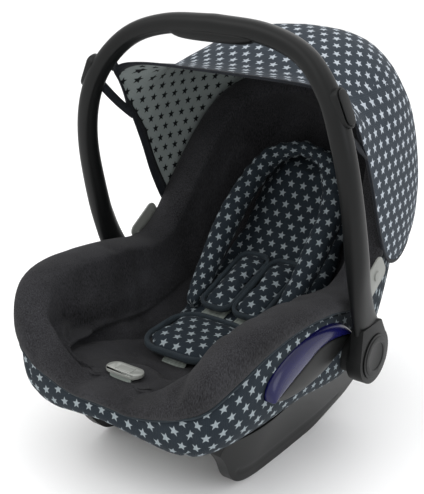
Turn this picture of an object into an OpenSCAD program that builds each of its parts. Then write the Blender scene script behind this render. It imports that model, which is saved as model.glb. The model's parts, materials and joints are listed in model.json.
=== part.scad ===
// Infant car seat: a bucket shell with a soft lining, a turning carry handle, a hooded canopy and a harness.
// Millimetres. X runs across the seat, -Y is the foot end, +Y the head end, and the floor is Z = 0.

/* [Handle] */
// Height of the handle's pivot above the floor
pivot_z = 152; // [146:1:158]
// Distance of the pivot from the middle of the seat's length, towards the head end
pivot_y = -8; // [-14:1:-2]
// Clear width between the two hub inner faces
hub_gap = 396; // [394:1:402]
// Radius of each hub
hub_r = 38; // [36:1:44]
// Thickness of each hub
hub_t = 21; // [18:1:22]
// Radius of the pivot axles
axle_r = 9; // [7:0.5:11]
// Running clearance around each axle
axle_gap = 0.05; // [0.02:0.01:0.1]
// Half-width of the handle tube across the seat
tube_a = 14; // [12:0.5:15]
// Half-depth of the handle tube at the top
tube_b = 14.5; // [12:0.5:16]

/* [Shell] */
// Wall of the moulded shell
shell_t = 4; // [3:0.5:4]
// Thickness of the foam liner
foam_t = 10; // [6:1:10]
// Thickness of the padded lining
lining_t = 16; // [12:1:18]
// Squareness of the bucket's section, 0.5 is boxy and 1 is round
bowl_p = 0.55; // [0.5:0.01:0.65]
// Fit gap between neighbouring pieces
gap = 0.4; // [0.3:0.1:0.8]

/* [Base] */
// Half-width of the rockers at the floor
rocker_x = 120; // [112:1:126]
// Half-width of the rocker skirts at their top edge
skirt_x = 178; // [177:1:180]
// Half-length of the bars that join the rockers
bar_x = 122; // [120:1:124]
// Wall of the rocker skirts
skirt_t = 6; // [5:0.5:7]

/* [Harness] */
// Width of the webbing
strap_w = 38; // [36:1:40]
// Thickness of the webbing
strap_t = 1.6; // [1.4:0.1:2]

/* [Canopy] */
// Thickness of the canopy cloth with its lining
cloth_t = 2; // [1.6:0.2:2.4]

/* [Hidden] */
$fn = 64;

plastic = "#2b2b2d";
slate = "#3b454d";
melange = "#414145";
light_grey = "#868a86";
webbing = "#7d847f";
lens_blue = "#2b2b6b";

hub_x = hub_gap / 2;
boss_x = hub_x - gap;
foam_q = shell_t + gap;
lining_q = foam_q + foam_t + gap;
soft_q = lining_q + lining_t;

// The bucket is described by half of its rim, from the middle of the foot end to the middle of the head end.
// Each station: rim x, y, z, the spine point below it (y, z), the depth direction there (y, z),
// how far below the rim the lining's seam runs, how far the lining stands above the rim,
// how far up the section the border cloth starts (0 spine, 1 rim), and the extra padding over the spine.
bucket = [
    [0, -291, 147, -222, 94, 0, 53, 10, 6, 0.76, 32],
    [55, -291, 149, -220, 92, 0, 57, 11, 7, 0.66, 33],
    [104, -290, 165, -212, 86, 0, 79, 13, 15, 0.52, 35],
    [143, -282, 192, -202, 82, 0, 110, 22, 28, 0.5, 34],
    [165, -254, 220, -184, 79, -4, 141, 22, 30, 0.54, 32],
    [177, -206, 236, -150, 75, -20, 159, 12, 22, 0.62, 30],
    [180, -145, 240, -105, 70, -38, 170, 8, 16, 0.68, 27],
    [180, -75, 234, -55, 65, -20, 169, 8, 14, 0.66, 26],
    [180, -6, 224, 10, 70, -16, 154, 10, 14, 0.62, 36],
    [178, 38, 246, 72, 94, -34, 152, 10, 15, 0.66, 28],
    [172, 76, 298, 120, 136, -44, 162, 10, 16, 0.72, 16],
    [163, 110, 348, 158, 192, -48, 156, 10, 16, 0.78, 6],
    [148, 144, 396, 192, 250, -58, 120, 10, 16, 0.8, 0],
    [120, 176, 432, 218, 300, -70, 78, 10, 16, 0.82, 0],
    [68, 204, 452, 236, 338, -68, 48, 10, 15, 0.84, 0],
    [0, 214, 457, 243, 352, -62, 38, 10, 14, 0.85, 0]
];
steps = 2;

function flip(k) = [for (i = [0:len(k) - 1]) i == 0 ? -k[0] : k[i]];
function blend_knots(a, b, c, d, t) =
    0.5 * (2 * b + (c - a) * t + (2 * a - 5 * b + 4 * c - d) * t * t + (3 * b - a - 3 * c + d) * t * t * t);
// A smooth run through knots; the ends are mirrored across X = 0 or simply held
function run(k, n, mirrored = false) =
    let (last = len(k) - 1)
    let (e = concat([mirrored ? flip(k[1]) : 2 * k[0] - k[1]], k, [mirrored ? flip(k[last - 1]) : 2 * k[last] - k[last - 1]]))
    [for (i = [0:last - 1], j = [0:n - 1]) blend_knots(e[i], e[i + 1], e[i + 2], e[i + 3], j / n), k[last]];

rim = run(bucket, steps, true);
rim_n = len(rim) - 1;

// A point of the bucket: f runs from the spine to the rim, q is the distance inside the shell's outer face,
// up moves it along the depth direction
function bowl(s, f, q, up = 0) =
    let (r = [s[0], s[1], s[2]])
    let (spine = [0, s[3], s[4]])
    let (d = [0, s[5], s[6]])
    let (a = r - spine - d)
    let (dn = d / norm(d))
    spine + dn * (q + up) + a * (1 - q / norm(a)) * pow(sin(90 * f), bowl_p)
        + (d - dn * q) * (1 - pow(cos(90 * f), bowl_p));

function mirror_x(p) = [-p[0], p[1], p[2]];
function loop_of(half) = concat(half, [for (i = [len(half) - 2:-1:1]) mirror_x(half[i])]);

function quad(a, b, c, d) = [[a, b, c], [a, c, d]];
// Faces of stacked closed loops of m points, capped across X = 0 at the first and last loop
function band_faces(loops, m, wrap = false) =
    [for (k = [0:loops - (wrap ? 1 : 2)], i = [0:m - 1])
        let (l = (k + 1) % loops, j = (i + 1) % m)
        each quad(k * m + i, l * m + i, l * m + j, k * m + j)];
function cap_faces(base, m, back) =
    [for (i = [0:m / 2 - 1])
        let (a = base + i, b = base + i + 1, c = base + (m - i - 1) % m, d = base + (m - i) % m)
        each (i == 0 ? [back ? [a, b, c] : [a, c, b]]
            : i == m / 2 - 1 ? [back ? [a, b, d] : [a, d, b]]
            : back ? quad(a, b, c, d) : quad(a, d, c, b))];
module bowl_solid(loops) {
    m = len(loops[0]);
    polyhedron(points = [for (l = loops) each l],
        faces = concat(band_faces(len(loops), m), cap_faces(0, m, true), cap_faces((len(loops) - 1) * m, m, false)));
}
// A closed sheet between an outer and an inner grid of the same size
module slab(outer, inner) {
    r = len(outer);
    c = len(outer[0]);
    o = r * c;
    polyhedron(points = concat([for (l = outer) each l], [for (l = inner) each l]),
        faces = concat(
            [for (i = [0:r - 2], j = [0:c - 2]) each quad(i * c + j, i * c + j + 1, (i + 1) * c + j + 1, (i + 1) * c + j)],
            [for (i = [0:r - 2], j = [0:c - 2]) each quad(o + i * c + j, o + (i + 1) * c + j, o + (i + 1) * c + j + 1, o + i * c + j + 1)],
            [for (i = [0:r - 2]) each concat(quad(i * c, (i + 1) * c, o + (i + 1) * c, o + i * c),
                quad(i * c + c - 1, o + i * c + c - 1, o + (i + 1) * c + c - 1, (i + 1) * c + c - 1))],
            [for (j = [0:c - 2]) each concat(quad(j, o + j, o + j + 1, j + 1),
                quad((r - 1) * c + j, (r - 1) * c + j + 1, o + (r - 1) * c + j + 1, o + (r - 1) * c + j))]));
}
// A tube swept along a path of [x, y, z, half-width, half-depth]; side is the section's width direction
module sweep(path, side, m = 16, square = 0.8) {
    n = len(path) - 1;
    function at(i) = [path[i][0], path[i][1], path[i][2]];
    function section(i) =
        let (t = at(min(i + 1, n)) - at(max(i - 1, 0)))
        let (v = cross(t / norm(t), side / norm(side)))
        let (u = cross(v / norm(v), t / norm(t)))
        [for (k = [0:m - 1])
            let (c = cos(360 * k / m), s = sin(360 * k / m))
            at(i) + u * path[i][3] * sign(c) * pow(abs(c), square) + v / norm(v) * path[i][4] * sign(s) * pow(abs(s), square)];
    polyhedron(points = [for (i = [0:n]) each section(i)],
        faces = concat(
            [for (i = [0:n - 1], k = [0:m - 1])
                each quad(i * m + k, (i + 1) * m + k, (i + 1) * m + (k + 1) % m, i * m + (k + 1) % m)],
            [[for (k = [0:m - 1]) k], [for (k = [m - 1:-1:0]) n * m + k]]));
}
module both_sides() {
    children();
    mirror([1, 0, 0]) children();
}
module along_x(x0, x1) {
    translate([x0, 0, 0]) rotate([90, 0, 90]) linear_extrude(x1 - x0) children();
}

// ---- Shell, foam and lining ----

levels = [0.05, 0.17, 0.3, 0.42, 0.54, 0.66, 0.77, 0.88, 0.96, 1];
function level_loop(f, q, up = 0) = loop_of([for (s = rim) bowl(s, f, q, up)]);
function bowl_loops(q0, q1, up) =
    concat([for (f = levels) level_loop(f, q0, f == 1 ? up : 0)],
        [for (i = [len(levels) - 1:-1:0]) level_loop(levels[i], q1, levels[i] == 1 ? up : 0)]);

module tub() {
    color(plastic) bowl_solid(bowl_loops(0, shell_t, 0));
}
module foam_liner() {
    color("#d8d8d4") bowl_solid(bowl_loops(foam_q, foam_q + foam_t, -2));
}
// The lining lies on the foam, rolls over the rim and ends at a seam outside
function rim_loop(q, up, seam, top) =
    loop_of([for (s = rim) bowl(s, 1, q, up - seam * s[7] + top * s[8])]);
module seat_lining() {
    under = [for (f = levels) level_loop(f, lining_q, 0)];
    roll = [rim_loop(lining_q, 1, 0, 0), rim_loop(-gap, 1, 0, 0), rim_loop(-gap, 0, 1, 0), rim_loop(-7, 0, 1, 0),
        rim_loop(-14, 0, 0.3, 0.2), rim_loop(-13, 0, 0, 0.62), rim_loop(-6, 0, 0, 0.93), rim_loop(8, 0, 0, 1),
        rim_loop(20, 0, 0, 0.82), rim_loop(29, 0, 0, 0.4)];
    over = [for (i = [len(levels) - 1:-1:0])
        loop_of([for (s = rim) bowl(s, levels[i], soft_q, s[10] * (1 - pow(levels[i], 4)))])];
    color(melange) bowl_solid(concat(under, roll, over));
}
// The printed border hangs from the lining's seam over the shell's side
module border_cover() {
    rows = 4;
    function side_loop(k, q) = loop_of([for (s = rim)
        k == rows ? bowl(s, 1, q, -s[7] - 1) : bowl(s, s[9] + (0.94 - s[9]) * k / rows, q)]);
    loops = concat([for (k = [0:rows]) side_loop(k, -gap)], [for (k = [rows:-1:0]) side_loop(k, -6)]);
    m = len(loops[0]);
    color(slate) polyhedron(points = [for (l = loops) each l],
        faces = [for (f = band_faces(len(loops), m, true)) [f[2], f[1], f[0]]]);
}

// ---- Base ----

// Side view of a rocker: y, bottom z, top z
rocker_side = [[-232, 80, 99], [-215, 58, 101], [-196, 28, 103], [-176, 11, 106], [-140, 3, 114], [-95, 1, 122],
    [-40, 1, 124], [10, 3, 121], [50, 14, 114], [84, 28, 106], [100, 44, 96]];
function skirt_at(y, z) =
    rocker_x + (skirt_x - rocker_x) * pow(max(z, 0) / 140, 1.25) - 16 * pow(max(0, -y - 150) / 80, 2);
function skirt_grid(inside) =
    [for (s = run(rocker_side, 2))
        [for (j = [0:5])
            let (z = max(s[1], 0) + (s[2] - max(s[1], 0)) * j / 5)
            [skirt_at(s[0], z) - (inside ? skirt_t + 10 * pow(1 - j / 5, 3) : 0), s[0], z]]];
module rocker() {
    slab(skirt_grid(false), skirt_grid(true));
}
module rocker_right() {
    color(plastic) rocker();
}
module rocker_left() {
    color(plastic) mirror([1, 0, 0]) rocker();
}
module cross_bars() {
    bar_z = 34;
    bar_h = 14;
    color(plastic) {
        for (y = [-150, 30]) {
            translate([-bar_x, y, bar_z]) cube([2 * bar_x, 22, bar_h]);
        }
        for (x = [-60, 60]) {
            translate([x - 4, -150, bar_z + bar_h]) cube([8, 22, 28]);
            translate([x - 4, 30, bar_z + bar_h]) cube([8, 22, 30]);
        }
    }
}
module glide_pads() {
    color("#1c1c1e") both_sides() {
        for (y = [-120, -15]) {
            translate([rocker_x - 12, y, 0]) cube([9, 26, 2]);
        }
    }
}

// ---- Pivots ----

module pivot() {
    translate([0, pivot_y, pivot_z]) rotate([0, 90, 0]) {
        translate([0, 0, 180]) cylinder(r = 30, h = boss_x - 180);
        translate([0, 0, boss_x - 1]) cylinder(r = axle_r, h = hub_t - 3);
    }
}
module pivot_right() {
    color(plastic) pivot();
}
module pivot_left() {
    color(plastic) mirror([1, 0, 0]) pivot();
}

// ---- Vehicle belt guides ----

guide_y = -118;
guide_z = 176;
guide_a = 96;
guide_b = 34;
guide_lean = 3;
function oval(a, b, k0, k1, n) = [for (i = [0:n]) let (t = k0 + (k1 - k0) * i / n) [a * cos(t), b * sin(t)]];
module guide_place() {
    translate([0, guide_y, guide_z]) children();
}
// The line between lens and cover, from the front tip to the rear
lens_line = run([[-91, -8], [-60, 0], [-28, 8], [8, 17], [40, 17], [68, 11], [91, 4]], 4);
module lens() {
    outer = oval(guide_a, guide_b + 6, 4, 190, 30);
    color(lens_blue) guide_place() along_x(178, 195.5) rotate(guide_lean) polygon(concat(outer, lens_line));
}
module guide_cover_body() {
    upper = [for (i = [len(lens_line) - 2:-1:1]) lens_line[i] - [0, gap]];
    lower = oval(guide_a - 5, guide_b - 2, 190, 360, 30);
    color(plastic) guide_place() along_x(178, 193.5) rotate(guide_lean) polygon(concat(upper, lower));
}
module guide_lens_right() {
    lens();
}
module guide_lens_left() {
    mirror([1, 0, 0]) lens();
}
module guide_cover_right() {
    guide_cover_body();
}
module guide_cover_left() {
    mirror([1, 0, 0]) guide_cover_body();
}
// Places children on the back of the shell at rim station i, with +Z pointing out of the shell
module on_back(i, lift) {
    s = rim[i];
    d = [s[5], s[6]] / norm([s[5], s[6]]);
    t = [rim[i + 1][3] - rim[i - 1][3], rim[i + 1][4] - rim[i - 1][4]];
    turn = atan2(t[1], t[0]) - 180;
    translate([0, s[3] - d[0] * lift, s[4] - d[1] * lift]) rotate([turn, 0, 0]) children();
}
module rear_belt_guide() {
    color(lens_blue) on_back(24, -3) {
        translate([-44, -14, 0]) cube([88, 6, 30]);
        translate([-44, -14, 24]) cube([88, 22, 6]);
    }
}

// ---- Harness ----

module harness_plate() {
    color(light_grey) translate([193.5, 22, 243]) rotate([-56, 0, 0]) {
        along_x(0, 3) offset(11) square([14, 42], center = true);
        translate([3, 0, 8]) rotate([0, 90, 0]) cylinder(r = 7, h = 2.4);
        translate([-18, 0, -22]) rotate([0, 90, 0]) cylinder(r = 5, h = 19);
    }
}
module harness_plate_right() {
    harness_plate();
}
module harness_plate_left() {
    mirror([1, 0, 0]) harness_plate();
}

// A cushion lying on the lining between two stations of the rim
function pad_grid(s0, s1, f1, cols, q0, lift) =
    [for (i = [s0:s1])
        [for (j = [-cols:cols])
            let (f = f1 * abs(j) / cols, swell = lift * (1 - pow(abs(j) / cols, 4)) * (1 - pow(abs(2 * (i - s0) / (s1 - s0) - 1), 6)))
            let (p = bowl(rim[i], max(f, 0.004), q0, rim[i][10] * (1 - pow(f, 4)) + swell + (lift > 0 ? 4 : 0)))
            [p[0] * sign(j), p[1], p[2]]]];
module infant_insert() {
    s0 = 14;
    s1 = 26;
    color(slate) slab(pad_grid(s0, s1, 0.36, 5, soft_q + gap, 0), pad_grid(s0, s1, 0.36, 5, soft_q + gap, 20));
}
// Half of the head hugger's roll: x, y, z, half-width, half-depth
hugger_path = [[66, -30, 158, 12, 10], [74, 2, 176, 17, 15], [78, 32, 206, 20, 19], [80, 68, 244, 23, 22], [78, 112, 288, 24, 23],
    [58, 146, 334, 23, 22], [30, 160, 354, 20, 20], [0, 164, 360, 18, 18]];
module head_hugger() {
    half = run(hugger_path, 3);
    back = [for (i = [len(half) - 2:-1:0]) flip(half[i])];
    color(slate) sweep(concat(half, back), [0, -0.85, 0.5], 12, 1);
}
module soft_block(size, r) {
    hull() {
        for (x = [-1, 1], y = [-1, 1]) {
            translate([x * (size[0] / 2 - r), y * (size[1] / 2 - r), 0]) {
                cylinder(r = r - 3, h = size[2], center = true, $fn = 32);
                cylinder(r = r, h = size[2] - 6, center = true, $fn = 32);
            }
        }
    }
}
module shoulder_pad() {
    color(slate) translate([28, 30, 186]) rotate([21, 0, 0]) soft_block([52, 122, 13], 15);
}
module shoulder_pad_right() {
    shoulder_pad();
}
module shoulder_pad_left() {
    mirror([1, 0, 0]) shoulder_pad();
}
// Flat webbing along a path in the YZ plane
module strap(path, x, w) {
    outer = [for (p = path) [[x - w / 2, p[0], p[1]], [x + w / 2, p[0], p[1]]]];
    n = len(path) - 1;
    inner = [for (i = [0:n])
        let (t = path[min(i + 1, n)] - path[max(i - 1, 0)])
        let (v = [-t[1], t[0]] / norm(t) * strap_t)
        [[x - w / 2, path[i][0] + v[0], path[i][1] + v[1]], [x + w / 2, path[i][0] + v[0], path[i][1] + v[1]]]];
    slab(outer, inner);
}
shoulder_path = run([[-46, 148], [-20, 154], [20, 170], [60, 186], [96, 204], [126, 234], [150, 268], [176, 284]], 3);
module shoulder_strap_right() {
    color(webbing) strap(shoulder_path, 28, strap_w);
}
module shoulder_strap_left() {
    color(webbing) mirror([1, 0, 0]) strap(shoulder_path, 28, strap_w);
}
module tongue() {
    color("#3a3a3c") translate([19, -54, 143]) rotate([14, 0, 0]) {
        translate([-10, -14, -1.5]) cube([22, 30, 3]);
        translate([-6, 12, -1.5]) cube([30, 8, 3]);
    }
}
module tongue_right() {
    tongue();
}
module tongue_left() {
    mirror([1, 0, 0]) tongue();
}
module crotch_pad() {
    color(slate) translate([0, -96, 154]) rotate([4, 0, 0]) soft_block([112, 104, 14], 30);
}
crotch_path = run([[-166, 104], [-163, 124], [-152, 137], [-134, 142], [-112, 142], [-98, 141]], 3);
module crotch_strap() {
    color(webbing) strap(crotch_path, 0, strap_w);
}
module buckle_housing() {
    color(plastic) translate([0, -78, 138]) difference() {
        translate([-27, -20, -10]) cube([54, 34, 18]);
        translate([-11, -12, -4]) cube([22, 18, 20]);
        translate([-24, 0, 0]) cube([12, 20, 5]);
        translate([12, 0, 0]) cube([12, 20, 5]);
    }
}
module buckle_button() {
    color("#a61f22") translate([-10.5, -89.5, 140]) cube([21, 17, 6]);
}
// The strap adjuster sits in the middle of the foot end
bezel_y = -252;
bezel_z = 163;
module adjuster_bezel() {
    color(light_grey) translate([0, bezel_y, bezel_z]) difference() {
        union() {
            hull() {
                for (x = [-15, 15]) {
                    translate([x, 0, 0]) cylinder(r = 12.5, h = 4, $fn = 32);
                }
            }
            translate([-16, -9, -24]) cube([32, 18, 25]);
        }
        translate([-12, -5, -20]) cube([24, 13, 30]);
        translate([-20, -11, -30]) cube([40, 4, 40]);
    }
}
module adjuster_button() {
    color(light_grey) translate([-11.5, bezel_y - 4.5, bezel_z - 1]) cube([23, 12, 5.5]);
}
module adjuster_strap() {
    color(webbing) translate([-17, bezel_y - 9.6, bezel_z - 60]) cube([34, strap_t, 62]);
}
yoke_i = 20;
module harness_yoke() {
    color("#b9bcbc") on_back(yoke_i, 5) difference() {
        translate([-30, -15, 0]) cube([60, 30, 2.5]);
        for (y = [-10, 5]) {
            translate([-21, y, -1]) cube([42, 5, 5]);
        }
    }
}
// Webbing behind and under the shell: from the shoulder slots to the yoke, then forward to the adjuster
function under_path(i0, i1, off) = [for (i = [i0:i1]) [rim[i][3], rim[i][4]] - [rim[i][5], rim[i][6]] / norm([rim[i][5], rim[i][6]]) * off];
module back_webbing() {
    color(webbing) {
        for (x = [-23, 23]) {
            strap(under_path(yoke_i, yoke_i + 3, 3.4), x, strap_w);
        }
        strap(under_path(4, yoke_i - 1, 3.4), 0, strap_w);
    }
}
module shell_screws() {
    color("#9a9c9c") for (x = [-60, 60], y = [-139, 41]) {
        translate([x, y, 30]) cylinder(r = 5, h = 4);
    }
}

// ---- Canopy ----

// Front to back: crown y, z, hem y, z, half-width, squareness of the arch
hood = [[-52, 506, -52, 466, 184, 0.4], [10, 506, -16, 430, 189, 0.86], [72, 532, 12, 374, 190, 0.84],
    [140, 545, 36, 314, 190, 0.76], [208, 526, 66, 262, 188, 0.76], [266, 476, 106, 240, 182, 0.82],
    [297, 408, 152, 238, 172, 0.88], [305, 344, 198, 246, 158, 0.92], [301, 296, 234, 256, 140, 0.94]];
function hood_grid(inset) =
    [for (s = run(hood, 2))
        [for (j = [-10:10])
            let (t = 9 * j)
            let (p = [s[4] * sign(t) * pow(abs(sin(t)), s[5]), s[2] + (s[0] - s[2]) * pow(abs(cos(t)), s[5]),
                s[3] + (s[1] - s[3]) * pow(abs(cos(t)), s[5])])
            let (c = p - [0, 90, 330])
            p - inset * c / norm(c)]];
module canopy_cloth() {
    color("#4b525c") slab(hood_grid(cloth_t), hood_grid(0));
}
// Elastic loops that tie the canopy's front corners to the handle's arms
module canopy_loops() {
    clear = 38;
    wall = 1.5;
    color("#17181c") both_sides() {
        translate([196, -84, 462]) rotate([0, -17, 0]) difference() {
            cube([clear + 2 * wall, clear + 2 * wall, 9], center = true);
            cube([clear, clear, 20], center = true);
        }
        translate([181, -65, 458]) cube([3, 14, 12]);
    }
}

// ---- Handle ----

// Right half of the handle: x, y, z, half-depth, half-width
handle_half = [[209, -15, 188, 26, 8], [210, -27, 210, 23, 8.5], [212, -45, 252, 19.5, 10.5], [213, -61, 306, 16.5, tube_a],
    [210, -79, 388, tube_b, tube_a], [198, -85, 452, tube_b, tube_a], [176, -80, 502, tube_b, tube_a],
    [135, -70, 543, tube_b, tube_a], [76, -66, 563, tube_b, tube_a], [0, -66, 568, tube_b, tube_a]];
module handle_bow() {
    half = run(handle_half, 4);
    back = [for (i = [len(half) - 2:-1:0]) flip(half[i])];
    color(plastic) sweep(concat(half, back), [0, 1, 0], 16, 0.85);
}
module grip_pad() {
    span = run([[-70, -66, 560, 10, 4], [-48, -66, 556, 13, 8], [0, -66, 556, 13.5, 9.5], [48, -66, 556, 13, 8], [70, -66, 560, 10, 4]], 4);
    color(plastic) sweep(span, [0, 1, 0], 16, 0.85);
}
module hub() {
    difference() {
        union() {
            translate([0, pivot_y, pivot_z]) rotate([0, 90, 0]) translate([0, 0, hub_x]) cylinder(r = hub_r, h = hub_t);
            along_x(hub_x + 4, hub_x + hub_t) polygon([[-45.9, 156], [28, 164], [6, 200], [-43, 200]]);
        }
        translate([0, pivot_y, pivot_z]) rotate([0, 90, 0]) translate([0, 0, hub_x - 1])
            cylinder(r = axle_r + axle_gap, h = hub_t - 1);
    }
}
module handle_hub_right() {
    color(plastic) hub();
}
module handle_hub_left() {
    color(plastic) mirror([1, 0, 0]) hub();
}
module hub_cap() {
    translate([0, pivot_y, pivot_z]) rotate([0, 90, 0]) translate([0, 0, hub_x + hub_t]) difference() {
        union() {
            cylinder(r = 31, h = 2);
            cylinder(r = 27, h = 3);
        }
        translate([0, 0, 2]) cylinder(r = 19, h = 5);
    }
}
module hub_cap_right() {
    color(plastic) hub_cap();
}
module hub_cap_left() {
    color(plastic) mirror([1, 0, 0]) hub_cap();
}
// The release buttons sit in raised seats on the outer shoulders of the handle
module on_shoulder() {
    translate([184, -82, 486]) rotate([0, -24, 0]) children();
}
module stadium(r, x0, x1) {
    hull() {
        for (z = [-13, 13]) {
            translate([x0, 0, z]) rotate([0, 90, 0]) cylinder(r = r, h = x1 - x0, $fn = 32);
        }
    }
}
button_r = 9;
module button_seat() {
    color(plastic) on_shoulder() difference() {
        stadium(button_r + 3, 8, 17.6);
        stadium(button_r + gap, 14.5, 30);
    }
}
module button_seat_right() {
    button_seat();
}
module button_seat_left() {
    mirror([1, 0, 0]) button_seat();
}
module release_button() {
    color(plastic) on_shoulder() stadium(button_r, 17.6, 20.4);
}
module release_button_right() {
    release_button();
}
module release_button_left() {
    mirror([1, 0, 0]) release_button();
}

tub();
foam_liner();
seat_lining();
border_cover();
rocker_left();
rocker_right();
cross_bars();
glide_pads();
pivot_left();
pivot_right();
guide_lens_left();
guide_lens_right();
guide_cover_left();
guide_cover_right();
rear_belt_guide();
harness_plate_left();
harness_plate_right();
infant_insert();
head_hugger();
shoulder_pad_left();
shoulder_pad_right();
shoulder_strap_left();
shoulder_strap_right();
crotch_pad();
crotch_strap();
buckle_housing();
tongue_left();
tongue_right();
adjuster_bezel();
adjuster_strap();
adjuster_button();
buckle_button();
harness_yoke();
back_webbing();
shell_screws();
canopy_cloth();
canopy_loops();
handle_bow();
grip_pad();
handle_hub_left();
handle_hub_right();
hub_cap_left();
hub_cap_right();
button_seat_left();
button_seat_right();
release_button_left();
release_button_right();
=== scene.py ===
# Infant car seat: fabrics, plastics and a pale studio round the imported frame.
# Metres throughout; the foot end is -Y, the head end +Y and the floor is z = 0.
import json
import math
import bmesh
import bpy
import numpy as np
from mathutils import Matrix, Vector, bvhtree, interpolate, noise

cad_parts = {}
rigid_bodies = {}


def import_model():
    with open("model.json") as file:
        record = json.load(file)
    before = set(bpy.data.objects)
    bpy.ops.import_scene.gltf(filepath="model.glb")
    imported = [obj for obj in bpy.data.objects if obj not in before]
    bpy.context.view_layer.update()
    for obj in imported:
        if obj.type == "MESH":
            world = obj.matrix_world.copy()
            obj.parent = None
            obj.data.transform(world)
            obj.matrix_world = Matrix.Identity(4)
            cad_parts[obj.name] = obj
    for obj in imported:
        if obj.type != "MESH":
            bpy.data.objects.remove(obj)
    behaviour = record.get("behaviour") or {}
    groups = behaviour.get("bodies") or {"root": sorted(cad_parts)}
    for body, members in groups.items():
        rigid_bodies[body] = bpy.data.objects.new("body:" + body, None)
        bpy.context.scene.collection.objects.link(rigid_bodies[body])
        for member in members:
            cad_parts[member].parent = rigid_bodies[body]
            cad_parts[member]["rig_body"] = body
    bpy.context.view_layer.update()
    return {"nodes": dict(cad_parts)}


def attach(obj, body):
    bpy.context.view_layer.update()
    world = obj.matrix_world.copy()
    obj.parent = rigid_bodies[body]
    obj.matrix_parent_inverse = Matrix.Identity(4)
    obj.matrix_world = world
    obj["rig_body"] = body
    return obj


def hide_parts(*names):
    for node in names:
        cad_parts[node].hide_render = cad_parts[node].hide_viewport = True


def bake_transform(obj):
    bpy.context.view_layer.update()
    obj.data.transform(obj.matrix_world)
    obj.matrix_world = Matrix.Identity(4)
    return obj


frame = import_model()
cadNodes = frame["nodes"]
bodyOf = {n: o["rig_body"] for n, o in cadNodes.items()}
print("frame loaded:", len(cadNodes), "nodes")

# camera, floor and lights

cameraSetup = {"place": (0.7485, -1.0817, 0.7448), "lookAt": (-0.026, -0.035, 0.258), "lens": 72.9}
studio = {"floorHex": "#fbfbfb", "floorSize": 60.0, "worldHex": "#ffffff", "worldStrength": 1.08}
softLights = [  # name, place, aim, size, watts, colour: big soft boxes, none of them leaves a hard shadow
    ("keyBox", (-0.9, -1.6, 2.2), (0.0, 0.0, 0.25), 1.8, 17.0, "#ffffff"),
    ("topBox", (0.3, 0.3, 2.6), (0.0, 0.0, 0.3), 2.2, 11.0, "#ffffff"),
    ("sideBox", (2.2, -0.3, 1.2), (0.0, 0.0, 0.25), 1.4, 9.0, "#f4f7ff"),
    ("backBox", (-0.6, 2.4, 1.6), (0.0, 0.0, 0.3), 1.6, 6.0, "#ffffff"),
]


def linearColour(hexText):
    parts = [int(hexText[i:i + 2], 16) / 255 for i in (1, 3, 5)]
    return tuple(p / 12.92 if p <= 0.04045 else ((p + 0.055) / 1.055) ** 2.4 for p in parts) + (1.0,)


def addNode(tree, kind, inputs=None, **settings):  # a node with its settings; inputs take numbers, sockets or nodes
    node = tree.nodes.new("ShaderNode" + kind)
    for key, value in settings.items():
        setattr(node, key, value)
    for key, value in (inputs or {}).items():
        if isinstance(value, bpy.types.Node):
            tree.links.new(value.outputs[0], node.inputs[key])
        elif isinstance(value, bpy.types.NodeSocket):
            tree.links.new(value, node.inputs[key])
        else:
            node.inputs[key].default_value = value
    return node


def newMaterial(name, **shader):  # a material with one Principled shader, its constants set on the shader itself
    material = bpy.data.materials.new(name)
    material.use_nodes = True
    tree = material.node_tree
    tree.nodes.clear()
    out = addNode(tree, "OutputMaterial")
    surface = addNode(tree, "BsdfPrincipled", shader)
    tree.links.new(surface.outputs[0], out.inputs[0])
    return material, tree, surface


def aimAt(obj, target):
    obj.rotation_euler = (Vector(target) - obj.location).to_track_quat("-Z", "Y").to_euler()


def buildStudio():
    scene = bpy.context.scene
    camera = bpy.data.objects.new("camera", bpy.data.cameras.new("camera"))
    scene.collection.objects.link(camera)
    camera.location = cameraSetup["place"]
    aimAt(camera, cameraSetup["lookAt"])
    camera.data.lens = cameraSetup["lens"]
    camera.data.sensor_width = 36.0
    camera.data.sensor_fit = "AUTO"
    camera.data.clip_end = 100.0
    scene.camera = camera
    scene.view_settings.view_transform = "Standard"

    world = bpy.data.worlds.new("paleRoom")
    world.use_nodes = True
    scene.world = world
    world.node_tree.nodes["Background"].inputs[0].default_value = linearColour(studio["worldHex"])
    world.node_tree.nodes["Background"].inputs[1].default_value = studio["worldStrength"]

    half = studio["floorSize"] / 2
    mesh = bpy.data.meshes.new("floor")
    mesh.from_pydata([(-half, -half, 0), (half, -half, 0), (half, half, 0), (-half, half, 0)], [], [(0, 1, 2, 3)])
    floor = bpy.data.objects.new("floor", mesh)
    scene.collection.objects.link(floor)
    material, tree, surface = newMaterial("paintedPaperFloor", Roughness=0.85)
    mottle = addNode(tree, "TexNoise", {"Scale": 3.0, "Detail": 2.0})
    tone = addNode(tree, "Mix", {0: mottle, 6: linearColour(studio["floorHex"]), 7: linearColour("#ffffff")},
        data_type="RGBA")
    tree.links.new(tone.outputs[2], surface.inputs["Base Color"])
    mesh.materials.append(material)

    for name, place, aim, size, watts, tint in softLights:
        lamp = bpy.data.lights.new(name, "AREA")
        lamp.shape = "DISK"
        lamp.size = size
        lamp.energy = watts
        lamp.color = linearColour(tint)[:3]
        box = bpy.data.objects.new(name, lamp)
        scene.collection.objects.link(box)
        box.location = place
        aimAt(box, aim)


buildStudio()
print("studio ready")

# materials


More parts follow.
